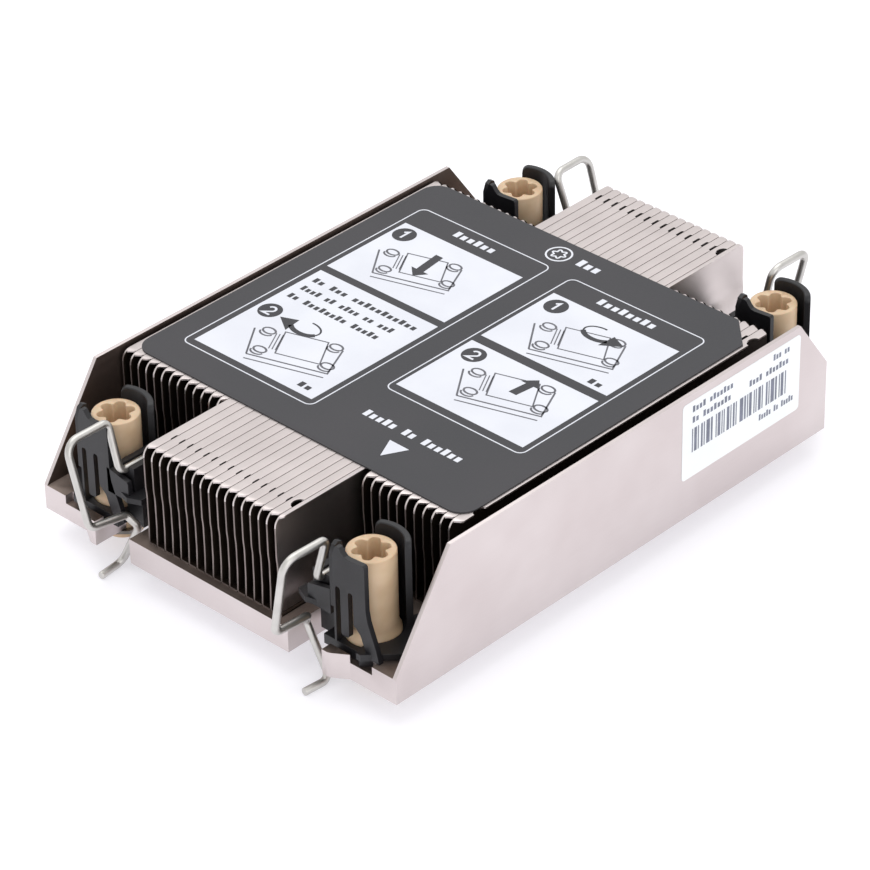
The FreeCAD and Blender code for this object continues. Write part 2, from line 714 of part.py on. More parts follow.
def make_retaining_ring(corner, sx, sy):
    """Push-on ring that keeps a nut in the plate: twelve flats, of which the inner ones grip."""
    name = f"retaining_ring_{corner}"
    sides = 12
    disc = doc.addObject("Part::Prism", f"{name}_disc")
    hole = doc.addObject("Part::Prism", f"{name}_hole")
    for prism in (disc, hole):
        prism.Polygon = sides
        prism.setExpression("Height", "Sizes.ring_thick")
    disc.setExpression("Circumradius", "Sizes.ring_radius")
    grip = f"(Sizes.shank_radius + Sizes.ring_grip) / {math.cos(math.pi / sides):.5f}"
    hole.setExpression("Circumradius", grip)
    slot = doc.addObject("Part::Box", f"{name}_slot")
    slot.setExpression("Length", "Sizes.ring_radius * 2")
    slot.setExpression("Width", "Sizes.ring_slot")
    slot.setExpression("Height", "Sizes.ring_thick")
    slot.setExpression("Placement.Base.y", "-Sizes.ring_slot / 2")
    tools = doc.addObject("Part::MultiFuse", f"{name}_tools")
    tools.Shapes = [hole, slot]
    ring = doc.addObject("Part::Cut", name)
    ring.Label = name
    ring.Base = disc
    ring.Tool = tools
    ring.setExpression("Placement.Base.x", f"{sx} * {nut_x}")
    ring.setExpression("Placement.Base.y", f"{sy} * {nut_y}")
    ring.setExpression("Placement.Base.z", f"{plate_under} - Sizes.ring_thick - Sizes.ring_clearance")
    pieces.append(ring)


def make_top_label():
    """Printed foil over the middle of the three stacks, its corners cut round in two chords."""
    body = new_body("top_label")
    outline = new_sketch(body, "top_label_outline", "XY_Plane", f"{plate_top} + Sizes.fin_tall")
    corner = "Sizes.label_round"
    middle = f"({corner} * {1 - math.sqrt(0.5):.3f})"
    sides = (f"({wall_inner} - Sizes.label_right_gap)", f"({wall_inner} - Sizes.label_left_gap)")
    right, left = [], []
    for edge, inward in (("-Sizes.label_front", "+"), ("Sizes.label_rear", "-")):
        for half, side in zip((right, left), sides):
            turn = [
                (f"{side} - {corner}", edge),
                (f"{side} - {middle}", f"{edge} {inward} {middle}"),
                (side, f"{edge} {inward} {corner}"),
            ]
            half += turn if inward == "+" else reversed(turn)
    add_polygon(outline, right + [(f"-({across})", up) for across, up in reversed(left)])
    pad(body, "top_label_foil", outline, "Sizes.label_thick")
    pieces.append(body)


def make_side_label():
    """Paper label on the outside of the right wall."""
    body = new_body("side_label")
    outline = new_sketch(body, "side_label_outline", "YZ_Plane", half_width)
    low, high = f"{plate_under} + Sizes.side_label_low", f"{plate_under} + Sizes.side_label_high"
    add_polygon(outline, [
        ("Sizes.side_label_front", low), ("Sizes.side_label_rear", low),
        ("Sizes.side_label_rear", high), ("Sizes.side_label_front", high),
    ])
    pad(body, "side_label_paper", outline, "Sizes.side_label_thick")
    pieces.append(body)


make_base_frame()
make_fins()
for place in CORNERS:
    make_nut(*place)
    make_retaining_ring(*place)
    make_clip(*place)
    make_wire(*place)
make_top_label()
make_side_label()
doc.recompute()

failed = [item.Name for item in doc.Objects if {"Invalid", "Error"} & set(item.State)]
if failed:
    sys.exit(f"objects that failed: {failed}")
for piece in pieces:
    if piece.Shape.isNull() or not piece.Shape.isValid():
        sys.exit(f"{piece.Label} has no valid shape")

os.makedirs("parts", exist_ok=True)
for piece in pieces:
    piece.Shape.exportStep(f"parts/{piece.Label}.step")
print(f"{len(pieces)} pieces written")
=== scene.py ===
import math

import bpy
import numpy as np
from mathutils import Matrix, Vector


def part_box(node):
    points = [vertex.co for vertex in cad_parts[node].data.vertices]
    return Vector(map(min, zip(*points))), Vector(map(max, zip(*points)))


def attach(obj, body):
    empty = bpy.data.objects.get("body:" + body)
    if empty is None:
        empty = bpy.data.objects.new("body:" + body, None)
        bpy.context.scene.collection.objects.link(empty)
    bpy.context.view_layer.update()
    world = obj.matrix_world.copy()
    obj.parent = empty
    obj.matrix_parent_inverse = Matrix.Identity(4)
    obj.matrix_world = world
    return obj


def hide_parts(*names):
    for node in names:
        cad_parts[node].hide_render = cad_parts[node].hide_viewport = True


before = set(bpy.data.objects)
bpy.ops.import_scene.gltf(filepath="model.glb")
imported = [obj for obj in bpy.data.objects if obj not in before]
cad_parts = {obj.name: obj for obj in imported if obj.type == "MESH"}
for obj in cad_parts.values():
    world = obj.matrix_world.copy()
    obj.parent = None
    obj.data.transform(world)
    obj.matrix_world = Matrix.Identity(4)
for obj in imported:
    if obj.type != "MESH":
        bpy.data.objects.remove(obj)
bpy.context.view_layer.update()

mm = 0.001  # the scene is in metres, every number of a piece is in millimetres


def toLinear(code):
    # sRGB hex code to linear RGBA: c/12.92 in the dark end, ((c+0.055)/1.055)^2.4 above it
    parts = [int(code[i:i + 2], 16) / 255 for i in (1, 3, 5)]
    return [c / 12.92 if c < 0.04045 else ((c + 0.055) / 1.055) ** 2.4 for c in parts] + [1.0]


def addNode(tree, kind, settings=None, **sockets):
    # one node; a socket value that is itself a socket becomes a link
    node = tree.nodes.new(kind)
    for name, value in (settings or {}).items():
        setattr(node, name, value)
    for name, value in sockets.items():
        target = node.inputs[name.replace("_", " ")]
        if isinstance(value, bpy.types.NodeSocket):
            tree.links.new(value, target)
        else:
            target.default_value = value
    return node


def makeMaterial(name, look):
    # One grained surface. Fine noise, its cells stretched to look["grain"] mm, drives roughness and
    # height; broad noise of look["patch"] mm shifts the colour between the two given codes.
    material = bpy.data.materials.new(name)
    material.use_nodes = True
    tree = material.node_tree
    tree.nodes.clear()
    place = addNode(tree, "ShaderNodeTexCoord").outputs["Object"]
    grainScale = [1 / (size * mm) for size in look["grain"]]
    stretched = addNode(tree, "ShaderNodeMapping", Vector=place, Scale=grainScale)
    grain = addNode(tree, "ShaderNodeTexNoise", Vector=stretched.outputs[0], Scale=1.0,
                    Detail=3.0, Roughness=0.6).outputs["Fac"]
    patch = addNode(tree, "ShaderNodeTexNoise", Vector=place, Scale=1 / (look["patch"] * mm),
                    Detail=2.0, Roughness=0.5).outputs["Fac"]
    low, high = look["roughness"]
    rough = addNode(tree, "ShaderNodeMapRange", Value=grain, From_Min=0.3, From_Max=0.7,
                    To_Min=low, To_Max=high).outputs[0]
    colour = addNode(tree, "ShaderNodeValToRGB", Fac=patch)
    ends = colour.color_ramp.elements
    ends[0].position, ends[1].position = 0.35, 0.65
    ends[0].color, ends[1].color = toLinear(look["colours"][0]), toLinear(look["colours"][1])
    bump = addNode(tree, "ShaderNodeBump", Height=grain, Strength=1.0,
                   Distance=look["height"] * mm).outputs["Normal"]
    shader = addNode(tree, "ShaderNodeBsdfPrincipled", Base_Color=colour.outputs["Color"],
                     Roughness=rough, Normal=bump, **look.get("shader", {}))
    addNode(tree, "ShaderNodeOutputMaterial", Surface=shader.outputs["BSDF"])
    return material


def smoothStep(x, start, end):
    # 0 before start, 1 after end and 3 t^2 - 2 t^3 between, where t is the fraction of the way
    t = np.clip((x - start) / (end - start), 0, 1)
    return t * t * (3 - 2 * t)


def oval(cx, cy, rx, ry, start=0, end=360, steps=28):
    # points at (cx + rx cos a, cy + ry sin a) for angles a from start to end, in degrees
    a = np.radians(np.linspace(start, end, steps))
    return np.stack([cx + rx * np.cos(a), cy + ry * np.sin(a)], -1)


def bar(x0, x1, y0, y1):
    # the four corners of an upright rectangle
    return np.array([(x0, y0), (x1, y0), (x1, y1), (x0, y1)])


def skin(rings):
    # Closed skin over rings of equal count: quad (i, j) joins points j, j+1 of rings i, i+1, and
    # the first and last rings are filled as flat caps.
    count, around = rings.shape[:2]
    start = np.arange(count - 1)[:, None] * around
    here = np.arange(around)
    after = np.roll(here, -1)
    quads = np.stack([start + here, start + after,
                      start + around + after, start + around + here], -1)
    faces = quads.reshape(-1, 4).tolist()
    faces.append(here[::-1].tolist())
    faces.append(((count - 1) * around + here).tolist())
    return rings.reshape(-1, 3), faces


def prism(outline, low, high, axes=(0, 1, 2)):
    # An outline drawn out from low to high. The outline's two directions and the direction of its
    # depth are given as axes, such as (0, 2, 1) for an outline in X and Z with its depth along Y.
    outline = np.asarray(outline, float)
    n = len(outline)
    points = np.zeros((2, n, 3))
    points[:, :, axes[0]], points[:, :, axes[1]] = outline[:, 0], outline[:, 1]
    points[0, :, axes[2]], points[1, :, axes[2]] = low, high
    here = np.arange(n)
    after = np.roll(here, -1)
    faces = np.stack([here, after, n + after, n + here], -1).tolist()
    faces += [here[::-1].tolist(), (n + here).tolist()]
    # twice the area is the sum of x * nextY - nextX * y, which is negative for a clockwise outline
    following = np.roll(outline, -1, 0)
    area = np.sum(outline[:, 0] * following[:, 1] - following[:, 0] * outline[:, 1])
    if (area < 0) != (axes == (0, 2, 1)):  # keep every face looking outwards
        faces = [face[::-1] for face in faces]
    return points.reshape(-1, 3), faces


def meshObject(name, points, faces, materials, smoothUnder=35):
    # points in millimetres; an edge whose faces meet at more than smoothUnder degrees stays sharp
    mesh = bpy.data.meshes.new(name)
    mesh.from_pydata((np.asarray(points) * mm).tolist(), [], faces)
    mesh.validate()
    mesh.update()
    mesh.polygons.foreach_set("use_smooth", np.ones(len(mesh.polygons), bool))
    mesh.set_sharp_from_angle(angle=math.radians(smoothUnder))
    for material in materials:
        mesh.materials.append(material)
    piece = bpy.data.objects.new(name, mesh)
    bpy.context.scene.collection.objects.link(piece)
    return piece


def joinSolids(name, solids, place, material, smoothUnder):
    # closed solids as one mesh at a place: each one's points are counted on from those before it
    starts = np.cumsum([0] + [len(points) for points, _ in solids])
    faces = [(start + np.array(face)).tolist()
             for start, (_, each) in zip(starts, solids) for face in each]
    points = np.concatenate([points for points, _ in solids]) + place
    return meshObject(name, points, faces, [material], smoothUnder)


def faceData(mesh):
    # each face's normal, and its centre in millimetres
    normals, centres = np.zeros((2, len(mesh.polygons) * 3))
    mesh.polygons.foreach_get("normal", normals)
    mesh.polygons.foreach_get("center", centres)
    return normals.reshape(-1, 3), centres.reshape(-1, 3) / mm


def bevelEdges(piece, width, segments, angle):
    # a live bevel along edges whose faces meet at more than angle degrees
    bevel = piece.modifiers.new("bevel", "BEVEL")
    bevel.width = width * mm
    bevel.segments = segments
    bevel.limit_method = "ANGLE"
    bevel.angle_limit = math.radians(angle)
    bevel.harden_normals = True


def nodeBox(node):
    # lowest and highest corner of a solid, in millimetres
    return (np.array(corner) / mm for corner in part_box(node))


def settle(piece, body, slotName, *nodes):
    # the piece stands for the given nodes and moves with the body; slotName is not used
    if nodes:
        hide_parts(*nodes)
    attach(piece, body)


# In every material, grain is the size of one grain along X, Y and Z, and patch that of one cloud
# of colour, in millimetres. Real rolling, turning and draw marks are 0.02 to 0.1 mm wide, which is
# too fine to show, so they are drawn two to five times as coarse. The grain of moulded nylon, film
# and paper has its real size.
nickelSheet = makeMaterial("satin nickel plate on rolled sheet", {
    # pale champagne sheen, broken by faint rolling streaks along Y
    "colours": ("#CFC5C4", "#D6CDCC"), "roughness": (0.33, 0.42), "grain": (0.25, 9.0, 0.25),
    "patch": 14, "height": 0.002, "shader": {"Metallic": 1.0},
})
nickelFin = makeMaterial("satin nickel plate on thin fin stock", {
    # same plate, brighter where the flanges face the sky
    "colours": ("#CFC6C4", "#D7CECC"), "roughness": (0.30, 0.38), "grain": (0.12, 6.0, 0.12),
    "patch": 9, "height": 0.0015, "shader": {"Metallic": 1.0},
})
shearedEdgeShade = makeMaterial("sheared edge of fin stock with painted shade", {
    # torn metal without the plate's sheen, darkened further as painted shade so the thin fronts
    # read as dull grey lines
    "colours": ("#857B78", "#988D8A"), "roughness": (0.5, 0.65), "grain": (0.1, 0.1, 0.6),
    "patch": 3, "height": 0.002, "shader": {"Metallic": 1.0},
})
plateShade = makeMaterial("painted shade on nickel plate inside the carrier", {
    # painted shade: inner faces that see only black clips and fin gaps are coloured dark brown
    "colours": ("#62554F", "#6E605A"), "roughness": (0.45, 0.55), "grain": (0.25, 9.0, 0.25),
    "patch": 14, "height": 0.002, "shader": {"Metallic": 1.0},
})
plateFloorShade = makeMaterial("painted shade on nickel plate on the carrier's floor", {
    # painted shade: the floor round the nuts is coloured an uneven brown, darker than the bright
    # walls
    "colours": ("#6E625C", "#7F736C"), "roughness": (0.42, 0.55), "grain": (0.4, 0.4, 0.4),
    "patch": 6, "height": 0.003, "shader": {"Metallic": 1.0},
})
finShade = makeMaterial("painted shade on nickel plate between fins", {
    # painted shade: web faces that only ever see each other are coloured brown black, so the gaps
    # read dark
    "colours": ("#40362F", "#4A4039"), "roughness": (0.5, 0.6), "grain": (0.3, 4.0, 0.3),
    "patch": 8, "height": 0.001, "shader": {"Metallic": 1.0},
})
turnedPeek = makeMaterial("turned natural PEEK", {
    # opaque tan polymer with fine turning rings up the barrel
    "colours": ("#C4A888", "#CFB596"), "roughness": (0.40, 0.50), "grain": (60, 60, 0.22),
    "patch": 4, "height": 0.004,
    "shader": {"Subsurface_Weight": 0.12, "Subsurface_Scale": 0.0006, "Specular_IOR_Level": 0.5},
})
mouldedNylon = makeMaterial("glass filled nylon moulded satin", {
    # charcoal with a soft grain that greys the lit faces
    "colours": ("#111114", "#17161A"), "roughness": (0.38, 0.52), "grain": (0.12, 0.12, 0.12),
    "patch": 3, "height": 0.004, "shader": {"Specular_IOR_Level": 0.5},
})
springSteel = makeMaterial("drawn spring steel nickel flash", {
    # bright round wire with long draw lines
    "colours": ("#C2C0BC", "#CDCBC7"), "roughness": (0.34, 0.42), "grain": (0.1, 0.1, 1.5),
    "patch": 4, "height": 0.0004, "shader": {"Metallic": 1.0},
})
ringSteel = makeMaterial("stamped spring steel oiled", {
    # darker grey washer under the plate
    "colours": ("#7F7B77", "#8D8985"), "roughness": (0.35, 0.48), "grain": (0.15, 0.15, 0.15),
    "patch": 3, "height": 0.001, "shader": {"Metallic": 1.0},
})
printedFilm = makeMaterial("screen printed polyester film satin", {
    # neutral mid grey with a slight sheen
    "colours": ("#3D3D40", "#403F42"), "roughness": (0.46, 0.54), "grain": (0.25, 0.25, 0.25),
    "patch": 20, "height": 0.0015, "shader": {"Specular_IOR_Level": 0.25},
})
whiteInk = makeMaterial("white screen ink on film", {
    # cool white panels and lines
    "colours": ("#D3D5DD", "#D9DBE2"), "roughness": (0.45, 0.55), "grain": (0.2, 0.2, 0.2),
    "patch": 10, "height": 0.001, "shader": {"Specular_IOR_Level": 0.3},
})
greyInk = makeMaterial("grey screen ink on film", {
    # the film's own grey, printed back over the white
    "colours": ("#37373B", "#3B3B3F"), "roughness": (0.45, 0.55), "grain": (0.2, 0.2, 0.2),
    "patch": 10, "height": 0.001, "shader": {"Specular_IOR_Level": 0.3},
})
fineInk = makeMaterial("grey screen ink in thin strokes", {
    # line drawings, paler because a thin stroke holds less ink
    "colours": ("#5C5C62", "#66666C"), "roughness": (0.45, 0.55), "grain": (0.2, 0.2, 0.2),
    "patch": 6, "height": 0.001, "shader": {"Specular_IOR_Level": 0.3},
})
labelPaper = makeMaterial("coated label paper", {
    # bright matt white
    "colours": ("#E9ECEE", "#EEF1F2"), "roughness": (0.55, 0.65), "grain": (0.3, 0.3, 0.3),
    "patch": 12, "height": 0.001, "shader": {"Specular_IOR_Level": 0.3},
})
thermalInk = makeMaterial("thermal transfer print on paper", {
    # soft blue grey bars
    "colours": ("#6E7280", "#7C8090"), "roughness": (0.5, 0.6), "grain": (0.2, 0.2, 0.2),
    "patch": 3, "height": 0.0005, "shader": {"Specular_IOR_Level": 0.3},
})
floorBoard = makeMaterial("opal acrylic shooting table lit from below", {
    # plain pale floor whose own glow leaves only a faint cool contact shadow
    "colours": ("#C9C8CA", "#CBCACC"), "roughness": (0.85, 0.95), "grain": (2, 2, 2),
    "patch": 200, "height": 0.0,
    "shader": {"Specular_IOR_Level": 0.1, "Emission_Color": toLinear("#F6F6FC"),
               "Emission_Strength": 0.5},
})
print("materials made")


carrierPlate = {
    "bevel": 0.16, "segments": 2, "bevelOver": 30,  # edges over this angle are bevelled
    "weld": 0.001,  # corners nearer than this are joined
    "flatWithin": 1.0,  # faces that meet at less than this angle become one
    "innerWallsFrom": 37,  # the walls' inner faces lie further than this from the middle
    "floorFrom": 7, "floorTo": 9.4,  # levels of the plate's top and its recesses
}


def makeCarrier():
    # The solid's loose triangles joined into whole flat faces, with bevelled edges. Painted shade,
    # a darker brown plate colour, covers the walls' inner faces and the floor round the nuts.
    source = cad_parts["base_frame"]
    mesh = source.data.copy()
    mesh.name = "carrier_plate"
    mesh.materials.clear()
    for material in (nickelSheet, plateShade, plateFloorShade):
        mesh.materials.append(material)
    normals, centres = faceData(mesh)
    # painted shade: masks for the walls' inner faces and the floor round the nuts, which take the
    # darker materials
    inward = (np.abs(normals[:, 0]) > 0.9) & (normals[:, 0] * centres[:, 0] < 0)
    inward &= np.abs(centres[:, 0]) > carrierPlate["innerWallsFrom"]
    floor = (normals[:, 2] > 0.9) & ~inward
    floor &= (centres[:, 2] > carrierPlate["floorFrom"]) & (centres[:, 2] < carrierPlate["floorTo"])
    mesh.polygons.foreach_set("material_index", (inward + 2 * floor).astype(np.int32))
    mesh.polygons.foreach_set("use_smooth", np.ones(len(mesh.polygons), bool))
    piece = bpy.data.objects.new("carrier_plate", mesh)
    bpy.context.scene.collection.objects.link(piece)
    piece.matrix_world = source.matrix_world.copy()
    weld = piece.modifiers.new("weld", "WELD")
    weld.merge_threshold = carrierPlate["weld"] * mm
    flat = piece.modifiers.new("flat", "DECIMATE")
    flat.decimate_type = "DISSOLVE"
    flat.angle_limit = math.radians(carrierPlate["flatWithin"])
    bevelEdges(piece, carrierPlate["bevel"], carrierPlate["segments"], carrierPlate["bevelOver"])
    settle(piece, "carrier", "plated_carrier", "base_frame")


makeCarrier()
print("carrier made")


fin = {
    "thick": 0.3, "bend": 0.11, "corner": 1.9, "footBend": 0.4,
    # from the fin's end: where the top flange starts, where it has its full width
    "flangeFront": (0.8, 1.7),
    "flangeRear": {"left": (1.05, 2.0), "centre": (0.6, 1.7), "right": (1.05, 2.0)},
    "jog": 0.17, "jogLow": 8.9, "jogHigh": 10.7,  # the web leans over by jog below these levels
    "lap": 0.03,  # the flange all but closes the gap to its neighbour
    # interlock windows: from each end to their middle, and the length and depth of the two kinds
    "inset": 5.2,
    "narrow": {"front": (1.5, 0.26), "rear": (1.8, 0.42)},
    "wide": {"front": (2.6, 1.0), "rear": (2.6, 1.0)},
    "shadeBelow": 0.4, "edgeBelow": 2.5,  # painted shade on the webs and the darker sheared edges start this far below the top
}


def finStations(length, windows):
    # distances along the fin, close together at the rounded ends and, at middle + half cos a for
    # even angles a, towards each window's two walls
    ends = np.array([0, 0.06, 0.16, 0.3, 0.5, 0.75, 0.9, 1.05, 1.25, 1.45, 1.65, 1.9,
                     2.2, 2.45, 2.7])
    marks = [ends, length - ends]
    for middle, long, _ in windows:
        half = long / 2
        marks += [middle + half * np.cos(np.linspace(0, math.pi, 11)),
                  [middle - half - 0.03, middle + half + 0.03]]
    return np.unique(np.round(np.concatenate(marks), 4))


def finRings(length, tall, reach, windows, wide, flangeRear):
    # For each station d: top level = tall - r + sqrt(r^2 - (r - e)^2), e the distance to the nearer
    # end; flange reach grows from the sheet's thickness to full width over the corner and drops by
    # the window's depth inside a window (a half ellipse for the wide ones). The loop runs round the
    # sheet's section: foot, outer bend, web, top bend, flange tip and back along the inside.
    d = finStations(length, windows)
    end = np.minimum(np.minimum(d, length - d), fin["corner"])
    r, t = fin["corner"], fin["thick"]
    top = tall - r + np.sqrt(np.maximum(r * r - (r - end) ** 2, 0))
    grown = smoothStep(d, *fin["flangeFront"]) * smoothStep(length - d, *flangeRear)
    tip = t + (reach + fin["lap"] - t) * grown
    for middle, long, depth in windows:
        across = np.clip(1 - ((d - middle) / (long / 2)) ** 2, 0, None)
        inside = np.abs(d - middle) < long / 2 + 0.001
        shape = np.sqrt(across) if wide else np.minimum(np.sqrt(across) * 2.2, 1)
        tip = np.where(inside, tip - depth * shape, tip)
    tip = np.maximum(tip, t)
    bend = np.minimum(fin["bend"] * grown, np.maximum(tip - 0.02, 0))
    inner = np.maximum(bend - t, 0.02 * grown)
    foot, footInner = fin["footBend"], 0.1
    turn = np.linspace(0, math.pi / 2, 5)
    levels = (4.0, fin["jogLow"], 9.5, 10.1, fin["jogHigh"], 14.0)
    x, z = [], []

    def put(px, pz):
        # the section's next point, at every station
        x.append(np.broadcast_to(px, d.shape))
        z.append(np.broadcast_to(pz, d.shape))

    put(reach, 0.0)
    for a in turn:
        put(foot - foot * np.sin(a), foot - foot * np.cos(a))
    for level in levels:
        put(0.0, level)
    for a in turn:
        put(bend - bend * np.cos(a), top - bend + bend * np.sin(a))
    put(tip, top)
    put(tip, top - t)
    for a in turn[::-1]:
        put(t + inner - inner * np.cos(a), top - t - inner + inner * np.sin(a))
    for level in levels[::-1]:
        put(t, level)
    for a in turn[::-1]:
        put(t + footInner - footInner * np.sin(a), t + footInner - footInner * np.cos(a))
    put(reach, t)
    x, z = np.array(x).T, np.array(z).T
    lean = fin["jog"] * (1 - smoothStep(z, fin["jogLow"], fin["jogHigh"])) * smoothStep(z, 0.0, 1.5)
    x = np.minimum(x + lean, reach)
    y = np.broadcast_to(d[:, None], x.shape)
    return np.stack([x, y, z], -1)


def makeFin(node, stack, kind, outward):
    # One folded fin in its solid's box. Painted shade, a dull brown, covers the web faces below the
    # top bend unless they are the outer side of the stack (outward, -1 or 1), and the sheared front
    # and rear edges are grey, partly painted shade.
    low, high = nodeBox(node)
    reach, length, tall = high - low
    windows = []
    if kind:
        windows = [(fin["inset"], *fin[kind]["front"]), (length - fin["inset"], *fin[kind]["rear"])]
    rings = finRings(length, tall, reach, windows, kind == "wide", fin["flangeRear"][stack])
    points, faces = skin(rings + low)
    piece = meshObject(f"folded_{node}", points, faces, [nickelFin, finShade, shearedEdgeShade], 28)
    normals, centres = faceData(piece.data)
    across, along, up = normals.T
    level = centres[:, 2]
    sideways = -outward * across if outward else np.abs(across)
    # painted shade: webs, undersides and the faces near the foot take the dark brown material
    shaded = (sideways > 0.55) & (level < high[2] - fin["shadeBelow"])
    shaded |= (up < -0.5) | ((level < low[2] + 1) & (np.abs(along) < 0.5))
    # partly painted shade: the sheared front and rear edge faces take the darker grey material
    sheared = (np.abs(along) > 0.7) & (level < high[2] - fin["edgeBelow"]) & ~shaded
    piece.data.polygons.foreach_set("material_index", (shaded + 2 * sheared).astype(np.int32))
    settle(piece, "carrier", "plated_fin", node)


for stack in ("left", "centre", "right"):
    nodes = sorted(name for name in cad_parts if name.startswith(f"{stack}_fin_"))
    kinds = ["narrow"] * (len(nodes) - 1) + ["wide"]
    lastLow, lastHigh = nodeBox(nodes[-1])
    if lastHigh[0] - lastLow[0] < 1.5:  # a stack that ends on a short flange
        kinds = kinds[1:] + [None]
    for node, kind in zip(nodes, kinds):
        outward = (node == nodes[-1]) - (node == nodes[0])
        makeFin(node, stack, kind, outward if stack == "centre" else 0)
print("fins made")


corners = {"front_left": (-1, -1), "front_right": (1, -1),
           "rear_left": (-1, 1), "rear_right": (1, 1)}
nutPattern = {"x": 28, "y": 47, "underside": 4.6}  # the nuts' axes and the plate's underside


def nutPlace(corner):
    # the point where a nut's axis meets the level of the plate's underside
    sx, sy = corners[corner]
    return np.array([nutPattern["x"] * sx, nutPattern["y"] * sy, nutPattern["underside"]])


nut = {
    # levels from the plate's underside
    "top": 20.0, "tail": -2.0, "radius": 3.9, "skirt": 4.4, "skirtTop": 5.9, "slopeTop": 6.9,
    "shank": 3.3, "shankEdge": 0.2, "seat": 3.15, "seatEdge": 0.12,
    "bore": 1.65, "boreEdge": 0.3, "boreTop": 10.0,
    "core": 2.15, "lobe": 3.05, "socketDeep": 5.5, "rimChamfer": 0.16, "around": 120,
}


def lobedRadius(angle, core, lobe):
    # lobe less (lobe - core) * ((1 - cos 6 angle) / 2)^1.7: six wide lobes, narrow teeth between
    return lobe - (lobe - core) * ((1 - np.cos(6 * angle)) / 2) ** 1.7


def makeNut(corner):
    # A turned profile of (radius, level) swept round Z, from the bore's top down, out and up to the
    # rim; in the socket rows that follow, the radius runs along the six lobes.
    angle = np.arange(nut["around"]) * 2 * math.pi / nut["around"]
    top, chamfer, deep = nut["top"], nut["rimChamfer"], nut["top"] - nut["socketDeep"]
    tail, bore, shank, seat = (nut[key] for key in ("tail", "bore", "shank", "seat"))
    skirt, skirtTop, slopeTop = (nut[key] for key in ("skirt", "skirtTop", "slopeTop"))
    radius = nut["radius"]
    profile = [
        (bore, nut["boreTop"]), (bore, tail + nut["boreEdge"]), (bore + nut["boreEdge"], tail),
        (shank - nut["shankEdge"], tail), (shank, tail + nut["shankEdge"]), (shank, seat),
        (skirt - nut["seatEdge"], seat), (skirt, seat + nut["seatEdge"]),
        (skirt, skirtTop - 0.1), (skirt - 0.08, skirtTop),
        (radius + 0.12, slopeTop - 0.25), (radius, slopeTop), (radius, 11.0), (radius, 15.0),
        (radius, top - chamfer), (radius - 0.07, top - 0.07), (radius - chamfer, top),
    ]
    rows = [(np.full_like(angle, r), z) for r, z in profile]
    socket = lobedRadius(angle, nut["core"], nut["lobe"])
    rows += [(socket + grow, z) for grow, z in ((0.12, top), (0.04, top - 0.05), (0, top - 0.15),
                                                (0, top - 3), (0, deep + 0.3), (-0.25, deep))]
    rings = np.array([np.stack([r * np.cos(angle), r * np.sin(angle), np.full_like(angle, z)], -1)
                      for r, z in rows])
    points, faces = skin(rings)
    piece = meshObject(f"turned_nut_{corner}", points + nutPlace(corner), faces, [turnedPeek], 40)
    settle(piece, f"turning_nut_{corner}", "nut_polymer", f"nut_{corner}")


wire = {
    "radius": 0.65, "around": 24, "arcSteps": 10,
    # outward along Y from the nut, inward along X, level above the plate's underside, bend radius
    "hook": [(10.1, 5.3, -3.85, 0), (5.0, 4.8, -3.8, 1.5)],
    "arm": [(5.1, 9.5, 5.0, 1.3), (6.2, 7.9, 7.1, 1.0), (13.5, 7.5, 8.0, 1.3)],
    "hinge": [(5.5, 6.4, 14.2, 1.1), (-0.5, 6.4, 14.2, 0)],
    # the loop's outer and inner top corners differ a little from corner to corner
    "top": {
        "front_left": [(13.3, 3.1, 21.7, 2.4), (4.7, 3.3, 21.8, 1.0)],
        "front_right": [(13.0, 5.4, 21.6, 2.5), (4.3, 5.1, 21.6, 1.0)],
        "rear_left": [(13.3, 3.6, 22.2, 2.4), (5.0, 3.8, 22.2, 1.6)],
        "rear_right": [(13.4, 4.0, 22.2, 2.0), (4.8, 4.2, 22.2, 1.8)],
    },
    # the cut ends: share of the radius, distance from the end
    "deburred": [(0.72, 0.0), (0.92, 0.05), (1.0, 0.16)],
}


def bentLine(points, bends, arcSteps):
    # Each corner is cut back by bend * tan(turn / 2) on both runs and joined by an arc about the
    # centre that lies bend / cos(turn / 2) from the corner along the runs' bisector.
    line = [points[0][None]]
    for before, corner, after, bend in zip(points[:-2], points[1:-1], points[2:], bends[1:-1]):
        into = (corner - before) / np.linalg.norm(corner - before)
        out = (after - corner) / np.linalg.norm(after - corner)
        turn = math.acos(np.clip(into @ out, -1, 1))
        bisector = (out - into) / np.linalg.norm(out - into)
        centre = corner + bisector * bend / math.cos(turn / 2)
        first = corner - into * bend * math.tan(turn / 2) - centre
        a = np.linspace(0, turn, arcSteps)[:, None]
        line.append(centre + first * np.cos(a) + into * bend * np.sin(a))
    line.append(points[-1][None])
    return np.concatenate(line)


def tubeRings(line, radius, around):
    # Circles square to the line, their start carried along without twist; the two ends are drawn in
    # by a quarter circle so that the cut looks deburred.
    ahead = np.gradient(line, axis=0)
    ahead /= np.linalg.norm(ahead, axis=1)[:, None]
    side = np.cross(ahead[0], [0.3, 0.2, 0.9])
    sides = []
    for direction in ahead:  # one step for each ring
        side = side - direction * (side @ direction)
        side = side / np.linalg.norm(side)
        sides.append(side)
    sides = np.array(sides)
    across = np.cross(ahead, sides)
    a = np.arange(around)[None, :, None] * 2 * math.pi / around
    circle = sides[:, None] * np.cos(a) + across[:, None] * np.sin(a)
    rings = line[:, None] + radius * circle
    start = [line[0] + radius * share * circle[0] + ahead[0] * back
             for share, back in wire["deburred"]]
    finish = [line[-1] + radius * share * circle[-1] - ahead[-1] * back
              for share, back in wire["deburred"][::-1]]
    return np.concatenate([start, rings[1:-1], finish])


